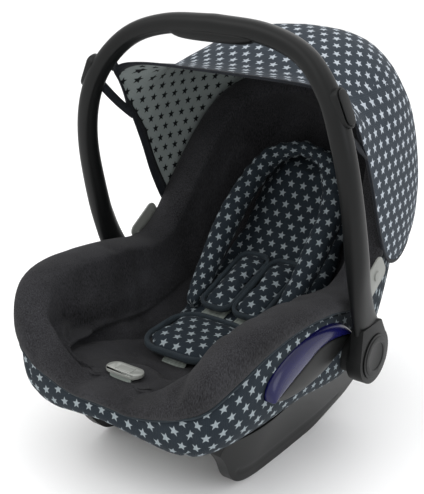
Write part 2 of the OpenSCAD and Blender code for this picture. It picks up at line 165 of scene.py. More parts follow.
def starMask(tree, place, cloth):  # staggered rows of five-pointed stars; place gives metres on the cloth
    pitchX, pitchY, tip = cloth["pitch"][0], cloth["pitch"][1], cloth["starRadius"]
    dip = tip * cloth["innerShare"]
    scaled = addNode(tree, "VectorMath", {0: place, 1: (1 / pitchX, 1 / pitchY, 1.0)}, operation="MULTIPLY")
    parts = addNode(tree, "SeparateXYZ", {0: scaled})
    row = addNode(tree, "Math", {0: parts.outputs[1]}, operation="FLOOR")
    odd = addNode(tree, "Math", {0: row, 1: 2.0}, operation="FLOORED_MODULO")
    shifted = addNode(tree, "Math", {0: odd, 1: 0.5, 2: parts.outputs[0]}, operation="MULTIPLY_ADD")
    cellX = addNode(tree, "Math", {0: shifted}, operation="FRACT")
    cellY = addNode(tree, "Math", {0: parts.outputs[1]}, operation="FRACT")
    x = addNode(tree, "Math", {0: cellX, 1: pitchX, 2: -pitchX / 2}, operation="MULTIPLY_ADD")
    y = addNode(tree, "Math", {0: cellY, 1: pitchY, 2: -pitchY / 2}, operation="MULTIPLY_ADD")
    xx = addNode(tree, "Math", {0: x, 1: x}, operation="MULTIPLY")
    radiusSquared = addNode(tree, "Math", {0: y, 1: y, 2: xx}, operation="MULTIPLY_ADD")
    radius = addNode(tree, "Math", {0: radiusSquared}, operation="SQRT")
    angle = addNode(tree, "Math", {0: x, 1: y}, operation="ARCTAN2")
    folded = addNode(tree, "Math", {0: angle, 1: math.pi / 5}, operation="PINGPONG")
    cosine = addNode(tree, "Math", {0: folded}, operation="COSINE")
    sine = addNode(tree, "Math", {0: folded}, operation="SINE")
    a, b = dip * math.sin(math.pi / 5), tip - dip * math.cos(math.pi / 5)
    length = math.hypot(a, b)
    across = addNode(tree, "Math", {0: sine, 1: b / length}, operation="MULTIPLY")
    slope = addNode(tree, "Math", {0: cosine, 1: a / length, 2: across}, operation="MULTIPLY_ADD")
    distance = addNode(tree, "Math", {0: slope, 1: radius}, operation="MULTIPLY")
    return addNode(tree, "MapRange",
        {0: distance, 1: a * tip / length + 0.0003, 2: a * tip / length - 0.0003, 3: 0.0, 4: 1.0})


def weaveHeight(tree, place, threads):  # over-and-under threads, each one this many metres wide
    turned = addNode(tree, "VectorMath", {0: place, 1: (math.pi / threads, math.pi / threads, 1.0)},
        operation="MULTIPLY")
    parts = addNode(tree, "SeparateXYZ", {0: turned})
    warp = addNode(tree, "Math", {0: parts.outputs[0]}, operation="SINE")
    weft = addNode(tree, "Math", {0: parts.outputs[1]}, operation="SINE")
    crossed = addNode(tree, "Math", {0: warp, 1: weft}, operation="MULTIPLY")
    return addNode(tree, "Math", {0: crossed}, operation="ABSOLUTE")


def printedCanvas(name, cloth):  # plain-woven polyester canvas, then printed: a matt ground with flat crisp stars
    material, tree, surface = newMaterial(name, **{"Roughness": 0.82, "IOR": 1.5, "Sheen Weight": cloth["sheen"],
            "Sheen Roughness": 0.45, "Specular IOR Level": 0.12})
    place = addNode(tree, "UVMap", uv_map="flat")
    weave = weaveHeight(tree, place.outputs[0], cloth["thread"])
    mottle = addNode(tree, "TexNoise", {"Vector": place.outputs[0], "Scale": 45.0, "Detail": 4.0})
    ground = addNode(tree, "Mix", {0: mottle, 6: linearColour(cloth["groundHex"]),
            7: linearColour(cloth["groundHighHex"])}, data_type="RGBA")
    stars = addNode(tree, "Mix", {0: mottle, 6: linearColour(cloth["starHex"]),
            7: linearColour(cloth["starHighHex"])}, data_type="RGBA")
    mask = starMask(tree, place.outputs[0], cloth)
    printed = addNode(tree, "Mix", {0: mask, 6: ground.outputs[2], 7: stars.outputs[2]}, data_type="RGBA")
    # painted shade in the gaps between threads and painted highlight on their tops: the print is scaled from 0.82 to
    # 1.08 by the weave's height
    weaveShadeAndHighlight = addNode(tree, "MapRange", {0: weave, 3: 0.82, 4: 1.08})
    weaveShaded = addNode(tree, "VectorMath", {0: printed.outputs[2], 3: weaveShadeAndHighlight}, operation="SCALE")
    tree.links.new(weaveShaded.outputs[0], surface.inputs["Base Color"])
    bump = addNode(tree, "Bump", {"Strength": 0.5, "Distance": 0.0006, "Height": weave})
    tree.links.new(bump.outputs[0], surface.inputs["Normal"])
    return material


# weft-knitted jersey of mixed dark and pale yarns, brushed: soft vertical flecks and a faint halo
def melangeJersey(name, cloth):
    material, tree, surface = newMaterial(name, **{"Roughness": 0.9, "IOR": 1.5, "Sheen Weight": cloth["sheen"],
            "Sheen Roughness": 0.6, "Specular IOR Level": 0.08})
    place = addNode(tree, "TexCoord").outputs["Object"]
    stretched = addNode(tree, "VectorMath",
        {0: place, 1: (1 / cloth["fleckWide"], 1 / cloth["fleckWide"], 1 / cloth["fleckLong"])},
        operation="MULTIPLY")
    fleck = addNode(tree, "TexNoise",
        {"Vector": stretched.outputs[0], "Scale": 1.0, "Detail": 5.0, "Roughness": 0.65})
    broad = addNode(tree, "TexNoise", {"Vector": place, "Scale": 14.0, "Detail": 3.0})
    both = addNode(tree, "Math", {0: broad, 1: 0.35, 2: fleck}, operation="MULTIPLY_ADD")
    level = addNode(tree, "MapRange", {0: both, 1: 0.48, 2: 0.92, 3: 0.0, 4: 1.0})
    yarn = addNode(tree, "Mix", {0: level, 6: linearColour(cloth["darkHex"]), 7: linearColour(cloth["paleHex"])},
        data_type="RGBA")
    tree.links.new(yarn.outputs[2], surface.inputs["Base Color"])
    bump = addNode(tree, "Bump", {"Strength": 0.5, "Distance": 0.0008, "Height": fleck})
    tree.links.new(bump.outputs[0], surface.inputs["Normal"])
    return material


def wovenTape(name, tape):  # narrow woven tape: fine ribs across, with painted highlight on the rib crests where the threads float and painted shade in the dips
    material, tree, surface = newMaterial(name, **{"Roughness": tape["roughness"], "IOR": 1.5, "Sheen Weight": 0.04,
            "Sheen Roughness": 0.5, "Specular IOR Level": 0.15})
    place = addNode(tree, "UVMap", uv_map="flat")
    parts = addNode(tree, "SeparateXYZ", {0: place.outputs[0]})
    ribs = addNode(tree, "Math", {0: parts.outputs[1], 1: 2 * math.pi / tape["rib"]}, operation="MULTIPLY")
    wave = addNode(tree, "Math", {0: ribs}, operation="SINE")
    lines = addNode(tree, "Math", {0: parts.outputs[0], 1: 2 * math.pi / tape["line"]}, operation="MULTIPLY")
    line = addNode(tree, "Math", {0: lines}, operation="COSINE")
    height = addNode(tree, "Math", {0: line, 1: 0.5, 2: wave}, operation="MULTIPLY_ADD")
    dust = addNode(tree, "TexNoise", {"Vector": place.outputs[0], "Scale": 120.0, "Detail": 4.0})
    # painted highlight on the rib crests and painted shade in the dips, over random mottle from the noise
    ribShadeAndMottle = addNode(tree, "Math", {0: height, 1: 0.18, 2: dust}, operation="MULTIPLY_ADD")
    tone = addNode(tree, "Mix", {0: ribShadeAndMottle, 6: linearColour(tape["darkHex"]), 7: linearColour(tape["paleHex"])},
        data_type="RGBA")
    tree.links.new(tone.outputs[2], surface.inputs["Base Color"])
    bump = addNode(tree, "Bump", {"Strength": 0.5, "Distance": 0.0004, "Height": height})
    tree.links.new(bump.outputs[0], surface.inputs["Normal"])
    return material


def mouldedPlastic(name, plastic):  # injection moulded in a spark-eroded tool: fine even grain, paler along sharp convex edges found by pointiness
    shader = {"Roughness": plastic["roughness"], "IOR": plastic.get("ior", 1.49),
        "Coat Weight": plastic.get("coat", 0.0), "Coat Roughness": 0.08,
        "Specular IOR Level": plastic.get("specular", 0.5), "Metallic": plastic.get("metallic", 0.0)}
    material, tree, surface = newMaterial(name, **shader)
    place = addNode(tree, "TexCoord").outputs["Object"]
    grain = addNode(tree, "TexNoise", {"Vector": place, "Scale": 1 / plastic["grain"], "Detail": 2.0})
    broad = addNode(tree, "TexNoise", {"Vector": place, "Scale": 16.0, "Detail": 3.0})
    body = addNode(tree, "Mix", {0: broad, 6: linearColour(plastic["hex"]), 7: linearColour(plastic["highHex"])},
        data_type="RGBA")
    # sharp convex edges, found by pointiness, are mixed towards a paler colour
    edges = addNode(tree, "NewGeometry").outputs["Pointiness"]
    paleEdgeMask = addNode(tree, "MapRange", {0: edges, 1: 0.53, 2: 0.62, 3: 0.0, 4: plastic.get("edgePaleShare", 0.5)})
    paleEdged = addNode(tree, "Mix", {0: paleEdgeMask, 6: body.outputs[2], 7: linearColour(plastic["edgePaleHex"])},
        data_type="RGBA")
    tree.links.new(paleEdged.outputs[2], surface.inputs["Base Color"])
    if plastic.get("bump", 0.0) > 0:
        bump = addNode(tree, "Bump", {"Strength": plastic["bump"], "Distance": 0.0002, "Height": grain})
        tree.links.new(bump.outputs[0], surface.inputs["Normal"])
    return material


canvasLooks = {"pitch": (0.0215, 0.0165), "starRadius": 0.0066, "innerShare": 0.45, "thread": 0.0022, "sheen": 0.03,
    "groundHex": "#1d242a", "groundHighHex": "#283037", "starHex": "#838d92", "starHighHex": "#9ba4a8"}
materials = {
    # threads drawn 2.2 mm wide, about four times the real ones, so that the weave shows
    "canvas": printedCanvas("printedPolyesterCanvas", canvasLooks),
    "hoodCanvas": printedCanvas("printedPolyesterCanvasHood",
        dict(canvasLooks, groundHex="#2c333a", groundHighHex="#373e46",
            starHex="#a3abb4", starHighHex="#bcc3ca")),
    "hoodReverse": printedCanvas("printedCanvasReverse",
        dict(canvasLooks, groundHex="#878f8e", groundHighHex="#9aa2a0",
            starHex="#0c0e10", starHighHex="#14171a")),
    "jersey": melangeJersey("brushedMelangeJersey", {"darkHex": "#0f0f10", "paleHex": "#3c3c3f", "fleckWide": 0.0011,
            "fleckLong": 0.0045, "sheen": 0.04}),
    "binding": wovenTape("wovenCottonBinding",
        {"darkHex": "#0d0f13", "paleHex": "#1f232a", "rib": 0.0016, "line": 0.004, "roughness": 0.75}),
    "slateBinding": wovenTape("wovenSlateBinding",
        {"darkHex": "#20272c", "paleHex": "#333c42", "rib": 0.0016, "line": 0.005, "roughness": 0.8}),
    "webbing": wovenTape("wovenPolyesterWebbing",
        {"darkHex": "#5d6560", "paleHex": "#979e98", "rib": 0.0022, "line": 0.0065, "roughness": 0.6}),
    "plastic": mouldedPlastic("mouldedPolypropylene",
        {"hex": "#0b0c0c", "highHex": "#121313", "edgePaleHex": "#262727", "specular": 0.2,
            "roughness": 0.42, "grain": 0.0012, "bump": 0.25, "edgePaleShare": 0.35}),
    "shell": mouldedPlastic("mouldedPolypropyleneShell",
        {"hex": "#121313", "highHex": "#1a1b1b", "edgePaleHex": "#2c2d2d", "specular": 0.22,
            "roughness": 0.55, "grain": 0.0018, "bump": 0.4, "edgePaleShare": 0.3}),
    "lens": mouldedPlastic("glossBlueAcrylic",
        {"hex": "#09092c", "highHex": "#11114a", "edgePaleHex": "#25257a", "roughness": 0.24, "specular": 0.3,
            "grain": 0.01, "coat": 0.18, "edgePaleShare": 0.2}),
    "nylon": mouldedPlastic("mouldedGreyNylon",
        {"hex": "#6f716d", "highHex": "#8b8d88", "edgePaleHex": "#b4b6b2", "roughness": 0.45,
            "grain": 0.0012, "bump": 0.2}),
    "steel": mouldedPlastic("zincPlatedSteel",
        {"hex": "#9b9d9f", "highHex": "#b7babc", "edgePaleHex": "#d4d6d8", "roughness": 0.34,
            "grain": 0.0009, "bump": 0.2, "metallic": 1.0, "ior": 1.5}),
    "rubber": mouldedPlastic("mouldedRubber",
        {"hex": "#121213", "highHex": "#1b1b1c", "edgePaleHex": "#2c2c2d", "roughness": 0.85,
            "grain": 0.0015, "bump": 0.5}),
    "foam": mouldedPlastic("expandedPolystyrene",
        {"hex": "#c9cac6", "highHex": "#dcddd9", "edgePaleHex": "#e8e8e5", "roughness": 0.75,
            "grain": 0.004, "bump": 0.9}),
    "redButton": mouldedPlastic("mouldedRedAcetal",
        {"hex": "#8f171b", "highHex": "#a91f23", "edgePaleHex": "#c9585a", "roughness": 0.35,
            "grain": 0.001, "bump": 0.15}),
}
print("materials ready:", len(materials))

# mesh helpers


# a smooth curve through knots; ends mirrored across x = 0 or simply held
def smoothRun(knots, steps, mirrored=False):
    k = np.array(knots, float)
    first, last = 2 * k[0] - k[1], 2 * k[-1] - k[-2]
    if mirrored:
        first, last = k[1].copy(), k[-2].copy()
        first[0], last[0] = -first[0], -last[0]
    e = np.vstack([first, k, last])
    out = []
    for i in range(len(k) - 1):
        a, b, c, d = e[i:i + 4]
        for t in np.arange(steps) / steps:
            out.append(0.5 * (2 * b + (c - a) * t + (2 * a - 5 * b + 4 * c - d) * t ** 2 + (3 * b - a - 3 * c + d)
                    * t ** 3))
    return np.array(out + [k[-1]])


def arcLengths(points):
    return np.concatenate([[0.0], np.cumsum(np.linalg.norm(np.diff(points, axis=0), axis=1))])


def gridFlat(grid, centre=None):  # places on the flat cloth: across each row, and down each column
    rows, cols = grid.shape[:2]
    middle = cols // 2 if centre is None else centre
    flat = np.zeros((rows, cols, 2))
    for i in range(rows):
        run = arcLengths(grid[i])
        flat[i, :, 0] = run - run[middle]
    for j in range(cols):
        flat[:, j, 1] = arcLengths(grid[:, j])
    return flat


def gridNormals(grid):
    along = np.gradient(grid, axis=0)
    across = np.gradient(grid, axis=1)
    n = np.cross(across, along)
    return n / np.maximum(np.linalg.norm(n, axis=2, keepdims=True), 1e-9)


def gridPiece(name, grid, material, flat=None, merge=5e-5):
    rows, cols = grid.shape[:2]
    flat = gridFlat(grid) if flat is None else flat
    faces = [(i * cols + j, i * cols + j + 1, (i + 1) * cols + j + 1, (i + 1) * cols + j)
        for i in range(rows - 1) for j in range(cols - 1)]
    mesh = bpy.data.meshes.new(name)
    mesh.from_pydata([tuple(p) for p in grid.reshape(-1, 3)], [], faces)
    layer = mesh.uv_layers.new(name="flat")
    order = np.zeros(len(mesh.loops), np.int32)
    mesh.loops.foreach_get("vertex_index", order)
    layer.data.foreach_set("uv", flat.reshape(-1, 2)[order].astype(np.float32).ravel())
    bm = bmesh.new()
    bm.from_mesh(mesh)
    bmesh.ops.remove_doubles(bm, verts=bm.verts, dist=merge)
    bmesh.ops.recalc_face_normals(bm, faces=bm.faces)
    bm.to_mesh(mesh)
    bm.free()
    mesh.shade_smooth()
    mesh.materials.append(material)
    obj = bpy.data.objects.new(name, mesh)
    bpy.context.scene.collection.objects.link(obj)
    return obj


def applyModifiers(obj):
    bpy.context.view_layer.update()
    graph = bpy.context.evaluated_depsgraph_get()
    mesh = bpy.data.meshes.new_from_object(obj.evaluated_get(graph))
    obj.modifiers.clear()
    obj.data = mesh


def subdivide(obj, levels=1, apply=False):
    modifier = obj.modifiers.new("smooth", "SUBSURF")
    modifier.levels = modifier.render_levels = levels
    if apply:
        applyModifiers(obj)
    return obj


def place(obj, body, slotName, *replaced):  # rides on its body and stands for its CAD nodes, which it hides
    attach(obj, body)
    finishPiece(obj, slotName, *replaced)
    return obj


def finishPiece(obj, slotName, *replaced):
    if replaced:
        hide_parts(*replaced)
    return obj


def tubeGrid(path, sideways, section):  # sections along a path; path rows are x, y, z, half-width, half-depth
    n = len(path)
    grid = np.zeros((n, len(section) + 1, 3))
    for i in range(n):
        t = path[min(i + 1, n - 1), :3] - path[max(i - 1, 0), :3]
        v = np.cross(t, sideways)
        v /= np.linalg.norm(v)
        u = np.cross(v, t)
        u /= np.linalg.norm(u)
        for j, (a, b) in enumerate(list(section) + [section[0]]):
            grid[i, j] = path[i, :3] + u * path[i, 3] * a + v * path[i, 4] * b
    return grid


def roundSection(count, square=1.0):
    angles = np.arange(count) * 2 * math.pi / count
    return [(math.copysign(abs(math.cos(a)) ** square, math.cos(a)),
            math.copysign(abs(math.sin(a)) ** square, math.sin(a)))
        for a in angles]


def capEnds(grid):  # closes a tube's two ends on their middles
    first, last = grid[0].mean(axis=0), grid[-1].mean(axis=0)
    inner = [grid[0] * 0.5 + first * 0.5, grid[-1] * 0.5 + last * 0.5]
    return np.concatenate([[np.tile(first, (grid.shape[1], 1))], [inner[0]], grid, [inner[1]],
            [np.tile(last, (grid.shape[1], 1))]])


def ripple(p, size, seed=0.0):
    return noise.noise(Vector((p[0] / size + seed, p[1] / size - seed, p[2] / size + 2 * seed)))


def solidFromNode(nodeName, name, material, bevel, slotName, segments=3, angle=35):
    # the CAD shape with its corners rounded as a mould rounds them
    mesh = cadNodes[nodeName].data.copy()
    mesh.name = name
    mesh.materials.clear()
    mesh.materials.append(material)
    bm = bmesh.new()
    bm.from_mesh(mesh)
    bmesh.ops.remove_doubles(bm, verts=bm.verts, dist=1e-5)
    bmesh.ops.dissolve_limit(bm, angle_limit=math.radians(1), verts=bm.verts, edges=bm.edges)
    bm.to_mesh(mesh)
    bm.free()
    if "custom_normal" in mesh.attributes:
        mesh.attributes.remove(mesh.attributes["custom_normal"])
    obj = bpy.data.objects.new(name, mesh)
    bpy.context.scene.collection.objects.link(obj)
    if bevel > 0:
        modifier = obj.modifiers.new("moulded", "BEVEL")
        modifier.width = bevel
        modifier.segments = segments
        modifier.limit_method = "ANGLE"
        modifier.angle_limit = math.radians(angle)
        modifier.harden_normals = False
        applyModifiers(obj)
    obj.data.shade_smooth()
    obj.data.set_sharp_from_angle(angle=math.radians(angle))
    return place(obj, bodyOf[nodeName], slotName, nodeName)


def carryFlat(source, piece):  # gives a remeshed piece the flat places of the shell it came from
    mesh = source.data
    tree = bvhtree.BVHTree.FromPolygons([v.co for v in mesh.vertices], [p.vertices for p in mesh.polygons])
    uv = mesh.uv_layers["flat"].data
    layer = piece.data.uv_layers.get("flat") or piece.data.uv_layers.new(name="flat")
    found = []
    for vertex in piece.data.vertices:
        spot, _, index, _ = tree.find_nearest(vertex.co)
        face = mesh.polygons[index]
        weights = interpolate.poly_3d_calc([mesh.vertices[v].co for v in face.vertices], spot)
        found.append(sum((uv[l].uv * w for l, w in zip(face.loop_indices, weights)), Vector((0.0, 0.0))))
    order = np.zeros(len(piece.data.loops), np.int32)
    piece.data.loops.foreach_get("vertex_index", order)
    layer.data.foreach_set("uv", np.array([tuple(p) for p in found], np.float32)[order].ravel())


def puff(obj, pad):
    # fills a closed cushion with air as cloth, keeps every point within reach of its start, then rounds it once
    source = obj.copy()
    source.data = obj.data.copy()
    remesh = obj.modifiers.new("even", "REMESH")
    remesh.mode = "VOXEL"
    remesh.voxel_size = pad["voxel"]
    applyModifiers(obj)
    start = np.array([v.co for v in obj.data.vertices])
    cloth = obj.modifiers.new("air", "CLOTH")
    cloth.settings.quality = 6
    cloth.settings.mass = 0.2
    cloth.settings.tension_stiffness = cloth.settings.compression_stiffness = pad.get("stiffness", 12.0)
    cloth.settings.shear_stiffness = 6.0
    cloth.settings.bending_stiffness = pad.get("bending", 0.4)
    cloth.settings.use_pressure = True
    cloth.settings.uniform_pressure_force = pad["pressure"]
    cloth.settings.effector_weights.gravity = 0.0
    cloth.collision_settings.use_collision = False
    cloth.collision_settings.use_self_collision = False
    cloth.point_cache.frame_start, cloth.point_cache.frame_end = 1, pad["frames"]
    scene = bpy.context.scene
    for step in range(1, pad["frames"] + 1):
        scene.frame_set(step)
    blown = obj.evaluated_get(bpy.context.evaluated_depsgraph_get()).data
    moved = np.array([v.co for v in blown.vertices]) - start
    scene.frame_set(1)
    obj.modifiers.clear()
    size = np.linalg.norm(moved, axis=1, keepdims=True)
    kept = moved * np.minimum(1.0, pad["reach"] / np.maximum(size, 1e-9))
    obj.data.vertices.foreach_set("co", (start + kept).astype(np.float32).ravel())
    carryFlat(source, obj)
    bpy.data.objects.remove(source)
    obj.data.shade_smooth()
    return subdivide(obj)


# the bucket: shell, lining and printed border

# half of the rim in millimetres, foot end to head end: rim x, y, z, spine y, z, depth direction y, z,
# the seam's drop below the rim, the lining's rise above it, where the border starts, extra padding on the spine
bucketKnots = [
    [0, -291, 147, -222, 94, 0, 53, 10, 6, 0.76, 32], [55, -291, 149, -220, 92, 0, 57, 11, 7, 0.66, 33],
    [104, -290, 165, -212, 86, 0, 79, 13, 15, 0.52, 35], [143, -282, 192, -202, 82, 0, 110, 22, 28, 0.5, 34],
    [165, -254, 220, -184, 79, -4, 141, 22, 30, 0.54, 32], [177, -206, 236, -150, 75, -20, 159, 12, 22, 0.62, 30],
    [180, -145, 240, -105, 70, -38, 170, 8, 16, 0.68, 27], [180, -75, 234, -55, 65, -20, 169, 8, 14, 0.66, 26],
    [180, -6, 224, 10, 70, -16, 154, 10, 14, 0.62, 36], [178, 38, 246, 72, 94, -34, 152, 10, 15, 0.66, 28],
    [172, 76, 298, 120, 136, -44, 162, 10, 16, 0.72, 16], [163, 110, 348, 158, 192, -48, 156, 10, 16, 0.78, 6],
    [148, 144, 396, 192, 250, -58, 120, 10, 16, 0.8, 0], [120, 176, 432, 218, 300, -70, 78, 10, 16, 0.82, 0],
    [68, 204, 452, 236, 338, -68, 48, 10, 15, 0.84, 0], [0, 214, 457, 243, 352, -62, 38, 10, 14, 0.85, 0]]
bucket = {"steps": 8, "boxy": 0.55, "shellWall": 4.0, "softDepth": 30.8}
stations = smoothRun(bucketKnots, bucket["steps"], True)
stationMarks = np.arange(len(stations)) / bucket["steps"]  # 0 at the foot end, 15 at the head end


# f goes from the spine to the rim, q is the depth inside the shell's outer face, in mm
def bowlPoint(s, f, q, up=0.0):
    spine, depth = np.array([0, s[3], s[4]]), np.array([0, s[5], s[6]])
    arm = s[:3] - spine - depth
    down = depth / np.linalg.norm(depth)
    lift = math.sin(math.radians(90 * f)) ** bucket["boxy"]
    rise = 1 - max(math.cos(math.radians(90 * f)), 0.0) ** bucket["boxy"]
    return (spine + down * (q + up) + arm * (1 - q / np.linalg.norm(arm)) * lift + (depth - down * q) * rise) / 1000


def halfBowl(profile):  # rows are stations; each row runs from the left edge over the spine to the right edge
    right = np.array([[point(s, m) for point in profile] for s, m in zip(stations, stationMarks)])
    left = right[:, ::-1] * np.array([-1.0, 1.0, 1.0])
    return np.concatenate([left[:, :-1], right], axis=1)


def ringBowl(profile):  # rows are steps of the profile; each row runs once round the rim
    right = np.array([[point(s, m) for s, m in zip(stations, stationMarks)] for point in profile])
    left = right[:, ::-1] * np.array([-1.0, 1.0, 1.0])
    return np.concatenate([right, left[:, 1:]], axis=1)


def ringFlat(grid, keyRow):  # one shared length round the rim, so that the print runs straight up and down the border
    flat = gridFlat(grid)
    run = arcLengths(grid[keyRow])
    flat[:, :, 0] = (run - run[-1] / 2)[None, :]
    return flat


def bump(x, middle, width):  # a smooth hill, 1 at its middle
    return math.exp(-((x - middle) / width) ** 2)


lining = {"seamDepth": 13.0, "seamWidth": 5.5, "mound": (0.085, 0.05, -0.256, 0.1585),
    "well": (0.022, 0.015, -0.2505, 0.1575),
    "swellAt": [0, 2, 3, 7.5, 9, 15], "swell": [2.0, 8.0, 20.0, 18.0, 8.0, 4.0], "wingStart": 0.5, "wingEnd": 1.1,
    "creaseDepth": 2.6, "creaseSize": 0.05}
# sewn seams and soft creases in plan, in millimetres, on the right half; each with its share of the seam's depth
liningSeams = [
    (1.0, [(113, -300), (108, -272), (120, -225), (115, -174), (107, -142), (98, -115), (92, -90)]),
    (0.9, [(40, -300), (36, -262), (39, -221), (26, -197), (0, -186)]),
    (0.5, [(26, -197), (56, -168), (98, -150)]),
    (0.45, [(152, -104), (128, -96), (103, -103)]), (0.35, [(140, -62), (118, -70), (104, -96)]),
    (0.35, [(148, -170), (130, -182), (116, -176)]), (0.3, [(150, -232), (134, -226), (119, -230)])]


def segmentDistance(points, a, b):
    a, b = np.array(a, float), np.array(b, float)
    t = np.clip((points - a) @ (b - a) / ((b - a) @ (b - a)), 0, 1)
    return np.linalg.norm(points - a - t[:, None] * (b - a), axis=1)


def seamGroove(grid):  # 0 to 1 over the lining: how far each place is pulled in by its stitches
    points = grid[..., :2].reshape(-1, 2) * 1000
    points[:, 0] = abs(points[:, 0])
    pull = np.zeros(len(points))
    for share, line in liningSeams:
        for a, b in zip(line[:-1], line[1:]):
            away = segmentDistance(points, a, b) / lining["seamWidth"]
            pull = np.maximum(pull, share * (0.6 * np.exp(-away ** 2) + 0.4 * np.exp(-(away / 3.2) ** 2)))
    return pull.reshape(grid.shape[:2])


def liningSwell(m, f):  # how far the jersey stands off its base, mm
    start, end = lining["wingStart"], lining["wingEnd"]
    if f < start:
        return 2.0 * math.sin(math.pi * f / start) ** 0.7
    high = float(np.interp(m, lining["swellAt"], lining["swell"]))
    return math.sin(math.pi * min((f - start) / (end - start), 1.0)) ** 0.7 * high


def liningPoint(f):
    return lambda s, m: bowlPoint(s, f, bucket["softDepth"] + liningSwell(m, f), s[10] * (1 - f ** 4))


def rollPoint(q, seam, top):
    return lambda s, m: bowlPoint(s, 1.0, q + liningSwell(m, 1.0) * max(0.0, (q - 8) / 23), -seam * s[7] + top * s[8])


liningLevels = [0.0, 0.004, 0.012, 0.022, 0.036, 0.055, 0.08, 0.11] + list(np.linspace(0.14, 0.96, 42))
rollSteps = [(30.8, 0, 0.1), (30, 0, 0.42), (27, 0, 0.7), (20, 0, 0.92), (12, 0, 1.03), (3, 0, 1.05), (-5, 0, 0.95),
    (-11, 0, 0.76),
    (-14, 0, 0.46), (-14.5, 0.25, 0.18), (-13, 0.55, 0.05), (-10, 0.82, 0), (-6.5, 1.0, 0), (-2.0, 1.0, 0),
    (2.0, 0.5, 0)]


def buildLining():
    grid = halfBowl([liningPoint(f) for f in liningLevels] + [rollPoint(*r) for r in rollSteps])
    normals = gridNormals(grid)
    inward = np.array([0.0, 0.0, 1.0])
    pull = seamGroove(grid)
    for i in range(grid.shape[0]):
        for j in range(grid.shape[1]):
            p = grid[i, j]
            edge = min(j, grid.shape[1] - 1 - j) / (len(rollSteps) + 2.0)
            hide = min(edge, 1.0) * min(i / 3.0, 1.0) * min((grid.shape[0] - 1 - i) / 3.0, 1.0)
            crease = ripple(p, lining["creaseSize"]) + 0.6 * (1 - abs(ripple(p, lining["creaseSize"] * 0.7, 3.0)) * 4)
            n = normals[i, j] * (1 if normals[i, j] @ inward > 0 else -1)
            grid[i, j] = p + n * 0.001 * (lining["creaseDepth"] * hide * crease * 0.5 - lining["seamDepth"] * pull[i,
                    j] * hide)
    wide, long, middle, height = lining["mound"]  # the jersey is padded up to the harness adjuster's plate
    around = ((grid[..., 0] / wide) ** 2 + ((grid[..., 1] - middle) / long) ** 2) ** 2
    columns = np.arange(grid.shape[1])
    inside = np.clip((np.minimum(columns, columns[::-1]) - 9) / 5.0, 0, 1)[None, :]
    grid[..., 2] += np.maximum(height - grid[..., 2], 0.0) * np.exp(-around) * inside
    wide, long, middle, height = lining["well"]  # and kept clear of its button's travel
    under = (abs(grid[..., 0]) < wide) & (abs(grid[..., 1] - middle) < long)
    grid[..., 2] = np.where(under, np.minimum(grid[..., 2], height), grid[..., 2])
    obj = subdivide(gridPiece("seatLining", grid, materials["jersey"], merge=2e-4))
    place(obj, "shell", "melange", "seat_lining")


border = {"thick": 6.0, "swell": 2.5, "hem": 4.5, "cornerStation": 2.65}


def borderPoint(share, q):
    def point(s, m):
        top = 0.94
        f = s[9] + (top - s[9]) * share
        seam = border["hem"] * bump(m, border["cornerStation"], 0.07)
        if share >= 1.0:
            return bowlPoint(s, 1.0, q, -s[7] - 0.6)
        return bowlPoint(s, f, q + (seam if q < -3 else 0)
            - (border["swell"] * math.sin(math.pi * share) if q < -3 else 0))
    return point


def buildBorder():
    outside = [borderPoint(k / 14, -border["thick"]) for k in range(14)] + [borderPoint(1.0, -border["thick"])]
    profile = [borderPoint(0.02, -0.8)] + [borderPoint(-0.02, -2.5)] + outside + [borderPoint(1.0, -0.8),
        borderPoint(0.5, -0.8), borderPoint(0.02, -0.8)]
    grid = ringBowl(profile)
    obj = subdivide(gridPiece("borderCover", grid, materials["canvas"], ringFlat(grid, 9), merge=1e-4))
    place(obj, "shell", "slate", "border_cover")
    # the rolled seam between jersey and border
    seamLine = ringBowl([lambda s, m: bowlPoint(s, 1.0, -8.2, -s[7] + 0.2)])[0]
    cordPath = np.column_stack([seamLine[:-1], np.full((len(seamLine) - 1, 2), 0.0016)])
    grid = closedTube(cordPath, 8)
    piping = gridPiece("rimPiping", grid, materials["slateBinding"], merge=5e-5)
    place(piping, "shell", "binding")


def closedTube(path, count):  # a tube round a closed path; rows follow the path
    n = len(path)
    ring = roundSection(count)
    grid = np.zeros((n + 1, count + 1, 3))
    for i in range(n + 1):
        k = i % n
        t = path[(k + 1) % n, :3] - path[k - 1, :3]
        t /= np.linalg.norm(t)
        v = np.cross(t, (0.0, 0.0, 1.0))
        v /= np.linalg.norm(v)
        u = np.cross(v, t)
        for j in range(count + 1):
            a, b = ring[j % count]
            grid[i, j] = path[k, :3] + u * path[k, 3] * a + v * path[k, 4] * b
    return grid


shell = {"ridgeLift": 1.6, "ridges": [0.26, 0.42]}


def shellPoint(f, q):
    def point(s, m):
        ribs = sum(bump(f, ridge, 0.012) for ridge in shell["ridges"]) * shell["ridgeLift"] if q < 1 else 0.0
        return bowlPoint(s, f, q - ribs * min(m / 2, 1.0) * min((15 - m) / 2, 1.0))
    return point


def buildShell():
    levels = list(np.linspace(0, 0.2, 6)) + list(np.linspace(0.22, 0.5, 24)) + list(np.linspace(0.53, 1.0, 16))
    outer = [shellPoint(f, 0.0) for f in levels]
    inner = [shellPoint(f, bucket["shellWall"]) for f in levels[::-1]]
    obj = gridPiece("shellBucket", shellGrid(outer, inner), materials["shell"], merge=1e-4)
    place(obj, "shell", "plastic", "tub")


def shellGrid(outer, inner):
    out, into = halfBowl(outer), halfBowl(inner[::-1])
    return np.concatenate([out, into[:, ::-1], out[:, :1]], axis=1)


buildShell()
buildLining()
buildBorder()
print("bucket done")

